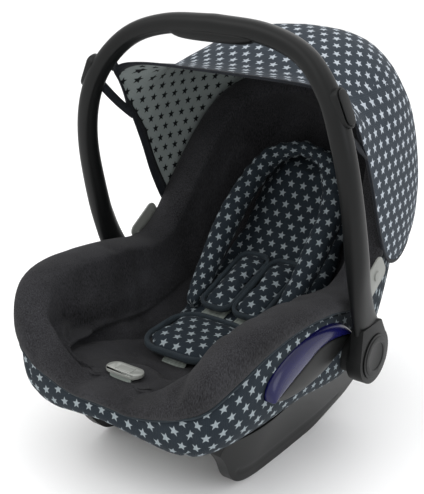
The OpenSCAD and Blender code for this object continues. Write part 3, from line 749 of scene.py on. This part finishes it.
# hood: crown y, z, hem y, z, half-width and squareness of each arch, front to back, in millimetres
hoodKnots = [[-52, 506, -52, 466, 184, 0.4], [10, 506, -16, 430, 189, 0.86], [72, 532, 12, 374, 190, 0.84],
    [140, 545, 36, 314, 190, 0.76], [208, 526, 66, 262, 188, 0.76], [266, 476, 106, 240, 182, 0.82],
    [297, 408, 152, 238, 172, 0.88], [305, 344, 198, 246, 158, 0.92], [301, 296, 234, 256, 140, 0.94]]
hood = {"steps": 6, "columns": 31, "panelAt": 15, "cloth": 0.0016, "tapeFront": 0.013, "tapeHem": 0.021,
    "tapeOutside": 0.004, "cornerCut": 0.9, "foldDepth": 0.0016}


def hoodSurface():
    rows = smoothRun(hoodKnots, hood["steps"])
    count = hood["columns"]
    grid = np.zeros((len(rows), 2 * count + 1, 3))
    for i, s in enumerate(rows):
        for j in range(-count, count + 1):
            t = math.radians(90 * math.copysign((abs(j) / count) ** 0.85, j))
            arch = abs(math.cos(t)) ** s[5]
            side = math.copysign(abs(math.sin(t)) ** s[5], t)
            p = np.array([s[4] * side, s[2] + (s[0] - s[2]) * arch, s[3] + (s[1] - s[3]) * arch]) / 1000
            grid[i, j + count] = p
    return grid


def shiftBack(grid, cut):  # slants the front edge back at its corners, where the elastic straps start
    rows, cols = grid.shape[:2]
    out = grid.copy()
    for j in range(cols):
        corner = max(0.0, (abs(2 * j / (cols - 1) - 1) - 0.86) / 0.14)
        lead = cut * corner * hood["steps"]
        for i in range(rows):
            spot = i + lead * max(0.0, 1 - i / (2.0 * hood["steps"]))
            low = min(int(spot), rows - 2)
            out[i, j] = grid[low, j] + (grid[low + 1, j] - grid[low, j]) * (spot - low)
    return out


def edgeTape(name, edge, inward, normal, widthOut, widthIn, material):
    # a folded tape over a cloth edge: rows follow the edge, the section goes round it
    t = hood["cloth"] / 2
    section = [(0.0, -t - 0.0009), (widthIn * 0.5, -t - 0.0012), (widthIn, -t - 0.0008), (widthIn, -t + 0.0003),
        (widthIn * 0.5, 0.0), (widthOut, t - 0.0003), (widthOut, t + 0.0008), (widthOut * 0.5, t + 0.0012),
        (0.0, t + 0.0009), (-0.0016, 0.0)]
    grid = np.zeros((len(edge), len(section) + 1, 3))
    for i in range(len(edge)):
        for j in range(len(section) + 1):
            d, h = section[j % len(section)]
            grid[i, j] = edge[i] + inward[i] * d + normal[i] * h
    return gridPiece(name, capEnds(grid), material, merge=2e-5)


def unit(v):
    return v / np.maximum(np.linalg.norm(v, axis=-1, keepdims=True), 1e-9)


def stitched(grid, surface):
    # cut as three panels, a crown and two sides, each printed flat before sewing; the panels meet at doubled columns
    middle = hood["columns"]
    low, high = middle - hood["panelAt"], middle + hood["panelAt"]
    flat = gridFlat(surface)
    flat[:, :, 1] = arcLengths(surface[:, middle])[:, None]
    side = surface[:, :, 1:]
    left = side[:, :low + 1] * (-1, 1)
    return (np.concatenate([grid[:, :low + 1], grid[:, low:high + 1], grid[:, high:]], axis=1),
        np.concatenate([left, flat[:, low:high + 1], side[:, high:]], axis=1))


def buildHood():
    surface = shiftBack(hoodSurface(), hood["cornerCut"])
    rows, cols = surface.shape[:2]
    middle = np.array([0.0, 0.09, 0.33])
    normals = gridNormals(surface)
    flip = np.sign(((surface - middle) * normals).sum(axis=2, keepdims=True))
    normals = normals * np.where(flip == 0, 1, flip)
    plain = surface.copy()
    for i in range(rows):
        for j in range(cols):
            away = (min(i / 8.0, 1.0) * min((rows - 1 - i) / 6.0, 1.0)
                * min(j / 5.0, 1.0) * min((cols - 1 - j) / 5.0, 1.0))
            p = surface[i, j]
            fine = ripple((p[0] * 2.2, p[1] * 0.5, p[2]), 0.05, 5.0)
            fold = hood["foldDepth"] * away * (ripple(p, 0.11, 1.0) * 1.6 + fine * 0.7)
            surface[i, j] = p + normals[i, j] * fold
    half = hood["cloth"] / 2
    outer = surface + normals * half
    inner = surface - normals * half
    outerPanels, printPlaces = stitched(outer, plain)
    innerPanels, _ = stitched(inner, plain)
    cloth = gridPiece("canopyCloth", outerPanels, materials["hoodCanvas"], printPlaces)
    reverse = gridPiece("canopyReverse", innerPanels, materials["hoodReverse"], printPlaces)
    edges = {  # edge points, direction into the cloth, normals, widths outside and inside
        "canopyTapeFront": (surface[0], unit(surface[2] - surface[0]), normals[0], 0.009, hood["tapeFront"]),
        "canopyTapeRear": (surface[-1], unit(surface[-3] - surface[-1]), normals[-1], 0.005, 0.009),
        "canopyTapeLeft": (surface[:, 0], unit(surface[:, 2] - surface[:, 0]), normals[:, 0],
            hood["tapeOutside"], hood["tapeHem"]),
        "canopyTapeRight": (surface[:, -1], unit(surface[:, -3] - surface[:, -1]), normals[:, -1],
            hood["tapeOutside"], hood["tapeHem"]),
    }
    tapes = [edgeTape(name, *facts, materials["binding"]) for name, facts in edges.items()]
    area = sum(np.linalg.norm(np.cross(surface[1:, :-1] - surface[:-1, :-1], surface[:-1, 1:] - surface[:-1, :-1]),
            axis=2).ravel())
    print("hood cloth area", round(float(area), 4))
    return cloth, reverse, tapes, surface, float(area)


canopyCloth, canopyReverse, canopyTapes, hoodSkin, hoodArea = buildHood()

# elastic straps hold the two front corners to the handle's arms
handleKnots = [[209, -15, 188, 26, 8], [210, -27, 210, 23, 8.5], [212, -45, 252, 19.5, 10.5],
    [213, -61, 306, 16.5, 14], [210, -79, 388, 14.5, 14], [198, -85, 452, 14.5, 14], [176, -80, 502, 14.5, 14],
    [135, -70, 543, 14.5, 14], [76, -66, 563, 14.5, 14], [0, -66, 568, 14.5, 14]]
handleLine = smoothRun(handleKnots, 10) / 1000
elastic = {"wide": 0.012, "thick": 0.0016, "ringHeights": (0.508, 0.474)}


def armAt(height, side):  # a point of the arm's middle line, its direction, half-depth and half-width
    k = int(np.argmin(np.abs(handleLine[:70, 2] - height)))
    t = unit(handleLine[k + 1, :3] - handleLine[k - 1, :3])
    return handleLine[k, :3] * (side, 1, 1), t * (side, 1, 1), handleLine[k, 3], handleLine[k, 4]


def buildElastic():
    made = []
    for side, sideName in ((1, "Right"), (-1, "Left")):
        column = -1 if side > 0 else 0
        corner = hoodSkin[3, column]
        frontStart = hoodSkin[0, column - 9 if side > 0 else 9]
        for k, (height, goal) in enumerate(zip(elastic["ringHeights"], (frontStart, corner))):
            middle, t, depth, width = armAt(height, side)
            across = unit(np.cross(t, (0.0, 1.0, 0.0)))
            u = unit(np.cross(across, t))
            toward = unit(goal - middle)
            back, outward = float(np.sign(toward @ u)), float(np.sign(across[0] * side))
            start = middle + u * depth * 0.9 * back - across * width * 0.35 * outward
            droop = np.array([0, 0, -0.002])
            path = np.array([start + (goal - start) * x + droop * math.sin(math.pi * x)
                    for x in np.linspace(-0.05, 1.12, 9)])
            wide = unit(t - unit(goal - start) * (t @ unit(goal - start)))
            thin = unit(np.cross(wide, goal - start))
            strip = np.zeros((9, 5, 3))
            for i in range(9):
                for j, (h, o) in enumerate([(-0.5, -0.5), (0.5, -0.5), (0.5, 0.5), (-0.5, 0.5), (-0.5, -0.5)]):
                    strip[i, j] = path[i] + wide * h * elastic["wide"] + thin * o * elastic["thick"]
            made.append(gridPiece("canopyStrap%s%d" % (sideName, k), capEnds(strip), materials["binding"]))
    return made


loops = buildElastic()
for obj in [canopyCloth, canopyReverse] + canopyTapes + loops:
    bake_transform(obj)
finishPiece(canopyCloth, "canopy", "canopy_cloth")
finishPiece(canopyReverse, "canopy")
for obj in canopyTapes:
    finishPiece(obj, "binding")
finishPiece(loops[0], "binding", "canopy_loops")
for obj in loops[1:]:
    finishPiece(obj, "binding")
print("hood done")

# cushions, filled with air as cloth

insert = {"stationsFrom": 7.0, "stationsTo": 13.2, "reachUp": 0.37, "rise": 15.0, "voxel": 0.006, "pressure": 4.0,
    "reach": 0.007,
    "frames": 18, "quiltDepth": 4.0}
hugger = {"voxel": 0.006, "pressure": 4.0, "reach": 0.006, "frames": 18, "gatherDepth": 0.003, "gatherGap": 0.02,
    "ruche": 0.0065,
    "path": [[66, -30, 158, 12, 10], [74, 2, 176, 17, 15], [78, 32, 206, 17, 16], [80, 68, 244, 20, 19],
        [78, 112, 288, 21, 20],
        [58, 146, 334, 21, 20], [30, 160, 354, 18, 18], [0, 164, 360, 16, 16]]}
shoulderPad = {"size": (0.049, 0.122, 0.008), "corner": 0.017, "middle": (0.0275, 0.026, 0.187), "tilt": 21.0,
    "voxel": 0.004,
    "pressure": 4.0, "reach": 0.005, "frames": 16, "edge": 0.0062}
crotchPad = {"size": (0.118, 0.108, 0.009), "corner": 0.036, "middle": (0.0, -0.108, 0.155), "tilt": 4.0,
    "voxel": 0.0045,
    "pressure": 4.0, "reach": 0.005, "frames": 16, "edge": 0.0065}


def buildInsert():
    marks = np.linspace(insert["stationsFrom"], insert["stationsTo"], 34)
    columns = 17
    lower = np.zeros((len(marks), 2 * columns + 1, 3))
    upper = lower.copy()
    for i, m in enumerate(marks):
        s = np.array([np.interp(m, stationMarks, stations[:, c]) for c in range(stations.shape[1])])
        along = 2 * i / (len(marks) - 1) - 1
        for j in range(-columns, columns + 1):
            share = abs(j) / columns
            wide = insert["reachUp"] * (1 - 0.25 * max(0.0, abs(along) - 0.55) / 0.45)
            f = max(wide * share, 0.004)
            swell = insert["rise"] * (1 - share ** 5) * (1 - along ** 8)
            quilt = insert["quiltDepth"] * (bump(share, 0.52, 0.05) + 0.6 * bump(along, -0.1, 0.05) * (share < 0.52))
            lift = s[10] * (1 - f ** 4)
            for grid, up in ((lower, lift), (upper, lift + 2.0 + max(swell - quilt, 0.0))):
                p = bowlPoint(s, f, 31.6, up)
                grid[i, j + columns] = p * (math.copysign(1, j), 1, 1)
    flat = gridFlat(upper)
    whole = np.concatenate([upper, lower[:, ::-1], upper[:, :1]], axis=1)
    whole = np.concatenate([closing(whole[0]), whole, closing(whole[-1])])
    wide = np.concatenate([flat, flat[:, ::-1], flat[:, :1]], axis=1)
    wide = np.concatenate([wide[:1], wide, wide[-1:]])
    obj = gridPiece("infantInsert", whole, materials["canvas"], wide)
    puff(obj, insert)
    place(obj, "shell", "slate", "infant_insert")


def closing(row):  # a flat end: every point of the row goes to the middle of its two faces
    half = (len(row) - 1) // 2
    other = np.concatenate([row[:half][::-1], row[half:2 * half][::-1], row[half - 1:half]])
    return ((row + other) / 2)[None]


def buildHugger():
    half = smoothRun(hugger["path"], 12)
    path = np.concatenate([half, half[-2::-1] * (-1, 1, 1, 1, 1)]) / 1000
    run = arcLengths(path[:, :3])
    total = run[-1]
    for i, x in enumerate(run):
        high = math.sin(math.pi * x / total) ** 3
        path[i, 3:] -= hugger["gatherDepth"] * high * (0.5 + 0.5 * math.cos(2 * math.pi * x / hugger["gatherGap"]))
    grid = capEnds(tubeGrid(path, np.array([0, -0.85, 0.5]), [(-a, -b) for a, b in roundSection(28)]))
    flat = np.zeros(grid.shape[:2] + (2,))
    turn = np.linspace(-0.5, 0.5, grid.shape[1])
    flat[:, :, 0] = (turn * 2 * math.pi * 0.021)[None, :]
    flat[2:-2, :, 1] = run[:, None]
    flat[-2:, :, 1] = total
    obj = gridPiece("headHugger", grid, materials["canvas"], flat)
    puff(obj, hugger)
    # ruched by an elastic along its crown: the cloth is drawn in between the puckers
    for vertex in obj.data.vertices:
        away = path[:, :3] - np.array(vertex.co)
        k = int(np.argmin((away ** 2).sum(axis=1)))
        x = run[k] + 0.006 * ripple(vertex.co, 0.02)
        drawn = math.sin(math.pi * run[k] / total) ** 4 * hugger["ruche"] * (0.5 - 0.5
            * math.cos(2 * math.pi * x / hugger["gatherGap"]))
        vertex.co += Vector(unit(away[k])) * drawn
    place(obj, "shell", "slate", "head_hugger")


def padOutline(size, corner, count=14):
    points = []
    for cx, cy, start in ((1, 1, 0), (-1, 1, 90), (-1, -1, 180), (1, -1, 270)):
        for k in range(count):
            a = math.radians(start + 90 * k / (count - 1))
            points.append((cx * (size[0] / 2 - corner) + corner * math.cos(a),
                    cy * (size[1] / 2 - corner) + corner * math.sin(a)))
    return np.array(points)


def buildPad(name, pad, side, *replaced):
    outline = padOutline(pad["size"], pad["corner"])
    shares = [0.02, 0.3, 0.55, 0.75, 0.88, 0.96, 1.0]
    rows, flats = [], []
    for top in (1, -1):
        for share in (shares if top > 0 else shares[::-1]):
            high = top * pad["size"][2] / 2 * (1 - share ** 4) ** 0.5
            ring = np.column_stack([outline * share, np.full(len(outline), high)])
            rows.append(np.vstack([ring, ring[:1]]))
            flats.append(rows[-1][:, :2])
    tilt = math.radians(pad["tilt"])
    turn = np.array([[1, 0, 0], [0, math.cos(tilt), -math.sin(tilt)], [0, math.sin(tilt), math.cos(tilt)]])
    middle = np.array(pad["middle"]) * (side, 1, 1)
    grid = np.array(rows) @ turn.T + middle
    obj = gridPiece(name, capEnds(grid), materials["canvas"], np.array([flats[0]] * 2 + flats + [flats[-1]] * 2))
    puff(obj, pad)
    place(obj, "shell", "slate", *replaced)
    # the wide bound edge
    edgeLine = np.column_stack([padOutline((pad["size"][0] + 0.001, pad["size"][1] + 0.001), pad["corner"]),
            np.zeros(4 * 14)])
    edgeLine = edgeLine @ turn.T + middle
    n = len(edgeLine)
    ring = roundSection(12, 0.9)
    up = turn @ np.array([0.0, 0.0, 1.0])
    tube = np.zeros((n + 1, 13, 3))
    for i in range(n + 1):
        k = i % n
        out = unit(np.cross(edgeLine[(k + 1) % n] - edgeLine[k - 1], up))
        for j in range(13):
            a, b = ring[j % 12]
            tube[i, j] = edgeLine[k] + out * pad["edge"] * 0.62 * a + up * pad["edge"] * 0.85 * b
    edge = subdivide(gridPiece(name + "Edge", tube, materials["slateBinding"], merge=1e-5))
    place(edge, "shell", "binding")


buildInsert()
print("insert done")
buildHugger()
print("hugger done")
buildPad("shoulderPadRight", shoulderPad, 1, "shoulder_pad_right")
buildPad("shoulderPadLeft", shoulderPad, -1, "shoulder_pad_left")
buildPad("crotchPad", crotchPad, 1, "crotch_pad")
print("pads done")

# webbing

webbing = {"wide": 0.038, "thick": 0.0016}
shoulderRoute = [[-46, 148], [-20, 154], [20, 170], [56, 183], [76, 180], [96, 186], [126, 216], [150, 250],
    [176, 280]]
crotchRoute = [[-166, 104], [-163, 124], [-152, 137], [-134, 142], [-112, 142], [-98, 141]]


def strapGrid(route, x, wide, lift=0.0):
    line = np.array([[0.0, y, z] for y, z in smoothRun(route, 6) / 1000])
    n = len(line)
    section = [(-0.5, 0.25), (-0.49, 0.0), (-0.25, 0.04), (0, 0.0), (0.25, 0.04), (0.49, 0.0), (0.5, 0.25),
        (0.5, 0.75), (0.49, 1.0), (0, 0.96),
        (-0.49, 1.0), (-0.5, 0.75), (-0.5, 0.25)]
    grid = np.zeros((n, len(section), 3))
    for i in range(n):
        t = unit(line[min(i + 1, n - 1)] - line[max(i - 1, 0)])
        v = np.array([0.0, -t[2], t[1]])
        for j, (a, b) in enumerate(section):
            grid[i, j] = line[i] + np.array([x + wide * a, 0, 0]) + v * (webbing["thick"] * b + lift)
    return grid


def buildStrap(name, route, x, wide, body, slotName, *replaced):
    grid = strapGrid(route, x, wide)
    flat = gridFlat(grid)
    flat[:, :, 0] = (grid[:, :, 0] - x)
    obj = gridPiece(name, capEnds(grid), materials["webbing"],
        np.concatenate([flat[:1], flat[:1], flat, flat[-1:], flat[-1:]]), merge=1e-5)
    obj.data.set_sharp_from_angle(angle=math.radians(50))
    return place(obj, body, slotName, *replaced)


buildStrap("shoulderStrapRight", shoulderRoute, 0.028, webbing["wide"], "shell", "webbing", "shoulder_strap_right")
buildStrap("shoulderStrapLeft", shoulderRoute, -0.028, webbing["wide"], "shell", "webbing", "shoulder_strap_left")
buildStrap("crotchStrap", crotchRoute, 0.0, webbing["wide"], "shell", "webbing", "crotch_strap")
print("webbing done")

# carry handle

handle = {"sides": 36, "square": 0.85, "stepIn": 0.0013, "stepFrom": 0.42}


# the tube's outline: the inner half is set in a little, which leaves a parting edge down each arm
def handleSection():
    points = []
    for k in range(handle["sides"]):
        a = 2 * math.pi * k / handle["sides"]
        c, s = math.cos(a), math.sin(a)
        points.append((math.copysign(abs(c) ** handle["square"], c), math.copysign(abs(s) ** handle["square"], s)))
    return points


def buildHandle():
    half = handleLine
    path = np.concatenate([half, half[-2::-1] * (-1, 1, 1, 1, 1)])
    grid = tubeGrid(path, np.array([0.0, 1.0, 0.0]), handleSection())
    n = len(path)
    run = arcLengths(path[:, :3])
    inside = np.array([0.0, -0.03, 0.36])
    for i in range(n):
        middle = path[i, :3]
        inward = unit(inside - middle)
        ends = min(1.0, min(run[i], run[-1] - run[i]) / 0.09)
        for j in range(grid.shape[1]):
            d = grid[i, j] - middle
            lean = float(unit(d) @ inward)
            share = min(max((lean - handle["stepFrom"]) / 0.06, 0.0), 1.0)
            grid[i, j] = middle + d * (1 - share * ends * handle["stepIn"] / max(np.linalg.norm(d), 1e-6))
    obj = gridPiece("handleBow", capEnds(grid), materials["plastic"], merge=1e-5)
    subdivide(obj)
    place(obj, "handle", "plastic", "handle_bow")


gripKnots = [[-70, -66, 560, 10, 4], [-48, -66, 556, 13, 8], [0, -66, 556, 13.5, 9.5], [48, -66, 556, 13, 8],
    [70, -66, 560, 10, 4]]


def buildGrip():
    path = smoothRun(gripKnots, 12) / 1000
    grid = tubeGrid(path, np.array([0.0, 1.0, 0.0]), roundSection(24, 0.85))
    place(subdivide(gridPiece("gripPad", capEnds(grid), materials["plastic"])), "handle", "plastic", "grip_pad")


buildHandle()
buildGrip()
print("handle done")

# belt guide lenses and covers

guide = {"y": -0.118, "z": 0.176, "a": 0.096, "b": 0.034, "lean": 3.0, "inside": 0.180,
    "line": [[-91, -8], [-60, 0], [-28, 8], [8, 17], [40, 17], [68, 11], [91, 4]]}


def guidePoint(y, z):
    lean = math.radians(guide["lean"])
    return np.array([guide["y"] + y * math.cos(lean) - z * math.sin(lean),
            guide["z"] + y * math.sin(lean) + z * math.cos(lean)])


def ovalPoint(a, b, degrees):
    t = math.radians(degrees)
    return guidePoint(a * math.cos(t), b * math.sin(t))


def domeStrip(name, firstEdge, secondEdge, lift, material, slotName, side, *replaced):
    # a domed band between two edges; lift gives its height across
    rows = []
    for p, q in zip(firstEdge, secondEdge):
        row = []
        for k, x in lift:
            y, z = p + (q - p) * k
            row.append((x * side, y, z))
        row += [(guide["inside"] * side, *(p + (q - p) * 0.97)), (guide["inside"] * side, *(p + (q - p) * 0.03)),
            row[0]]
        rows.append(row)
    obj = subdivide(gridPiece(name, capEnds(np.array(rows)), material, merge=1e-5))
    place(obj, "shell", slotName, *replaced)


def buildGuides():
    line = smoothRun(guide["line"], 6) / 1000
    run = arcLengths(line)
    line = np.array([[np.interp(x, run, line[:, 0]), np.interp(x, run, line[:, 1])] for x in np.linspace(0, run[-1],
                41)])
    for side, end, word in ((1, "right", "Right"), (-1, "left", "Left")):
        outer = [ovalPoint(guide["a"], guide["b"] + 0.006, t) for t in np.linspace(190, 4, 41)]
        middle = [guidePoint(y, z) for y, z in line]
        dome = [(0.0, 0.1835), (0.04, 0.187), (0.14, 0.1906), (0.3, 0.1935), (0.5, 0.195), (0.7, 0.1955),
            (0.9, 0.1951), (1.0, 0.1943)]
        domeStrip("guideLens" + word, outer, middle, dome, materials["lens"], "lens", side, "guide_lens_" + end)
        top = [guidePoint(y * 0.985, z - 0.0008) for y, z in line]
        low = [ovalPoint(guide["a"] - 0.005, guide["b"] - 0.002, t) for t in np.linspace(190, 360, 41)]
        dome = [(0.0, 0.1925), (0.05, 0.1933), (0.2, 0.1935), (0.45, 0.1932), (0.7, 0.1915), (0.88, 0.1885),
            (0.97, 0.185), (1.0, 0.182)]
        domeStrip("guideCover" + word, top, low, dome, materials["plastic"], "plastic", side, "guide_cover_" + end)


buildGuides()
print("guides done")

# rockers

rockerKnots = [[-232, 80, 99], [-215, 58, 101], [-196, 28, 103], [-176, 11, 106], [-140, 3, 114], [-95, 1, 122],
    [-40, 1, 124], [10, 3, 121], [50, 14, 114], [84, 28, 106], [100, 44, 96]]
rocker = {"foot": 120.0, "top": 178.0, "wall": 6.0, "rows": 22}


def skirtAt(y, z):
    return rocker["foot"] + (rocker["top"] - rocker["foot"]) * (max(z, 0) / 140) ** 1.25 - 16 * (max(0.0,
            -y - 150) / 80) ** 2


def buildRocker(side, word, node):
    rows = []
    for y, low, high in smoothRun(rockerKnots, 6):
        low = max(low, 0.0)
        outer, inner = [], []
        for share in np.linspace(0, 1, rocker["rows"]):
            z = low + (high - low) * share
            groove = 1.2 * bump(share, 0.2, 0.03) * (1 if -190 < y < 60 else 0)
            outer.append((skirtAt(y, z) - groove, y, z))
            inner.append((skirtAt(y, z) - rocker["wall"] - 10 * (1 - share) ** 3, y, z))
        ring = outer + inner[::-1] + outer[:1]
        rows.append([(x * side / 1000, yy / 1000, zz / 1000) for x, yy, zz in ring])
    obj = gridPiece("rocker" + word, capEnds(np.array(rows)), materials["plastic"], merge=1e-5)
    modifier = obj.modifiers.new("moulded", "BEVEL")
    modifier.width, modifier.segments, modifier.limit_method = 0.0015, 3, "ANGLE"
    modifier.angle_limit = math.radians(40)
    applyModifiers(obj)
    obj.data.shade_smooth()
    obj.data.set_sharp_from_angle(angle=math.radians(45))
    place(obj, "shell", "plastic", node)


buildRocker(1, "Right", "rocker_right")
buildRocker(-1, "Left", "rocker_left")
print("rockers done")

# hard parts that keep their CAD shape

hardParts = [  # node, piece, material, corner radius in metres, slot
    ("cross_bars", "crossBars", "shell", 0.0015, "plastic"), ("glide_pads", "glidePads", "rubber", 0.0006, "rubber"),
    ("rear_belt_guide", "rearBeltGuide", "lens", 0.0016, "lens"),
    ("buckle_housing", "buckleHousing", "plastic", 0.0014, "plastic"),
    ("buckle_button", "buckleButton", "redButton", 0.0012, "button_red"),
    ("adjuster_bezel", "adjusterBezel", "nylon", 0.0009, "light_grey"),
    ("adjuster_button", "adjusterButton", "nylon", 0.0009, "light_grey"),
    ("harness_yoke", "harnessYoke", "steel", 0.0006, "steel"),
    ("shell_screws", "shellScrews", "steel", 0.0007, "steel"),
]
mirroredParts = [  # the same, for nodes that end in left and right
    ("pivot", "pivot", "shell", 0.0012, "plastic"), ("harness_plate", "harnessPlate", "nylon", 0.0009, "light_grey"),
    ("tongue", "tongue", "steel", 0.0007, "steel"), ("handle_hub", "handleHub", "plastic", 0.003, "plastic"),
    ("hub_cap", "hubCap", "plastic", 0.0006, "plastic"), ("button_seat", "buttonSeat", "plastic", 0.0008, "plastic"),
    ("release_button", "releaseButton", "plastic", 0.0014, "plastic"),
]
for node, pieceName, *facts in mirroredParts:
    hardParts += [(node + "_" + end, pieceName + end.capitalize(), *facts) for end in ("left", "right")]
for node, pieceName, materialName, radius, slotName in hardParts:
    solidFromNode(node, pieceName, materials[materialName], radius, slotName)
for node, materialName in (("foam_liner", "foam"), ("back_webbing", "webbing"), ("adjuster_strap", "webbing")):
    kept = cadNodes[node]
    kept.data.materials.clear()
    kept.data.materials.append(materials[materialName])
print("hard parts done")
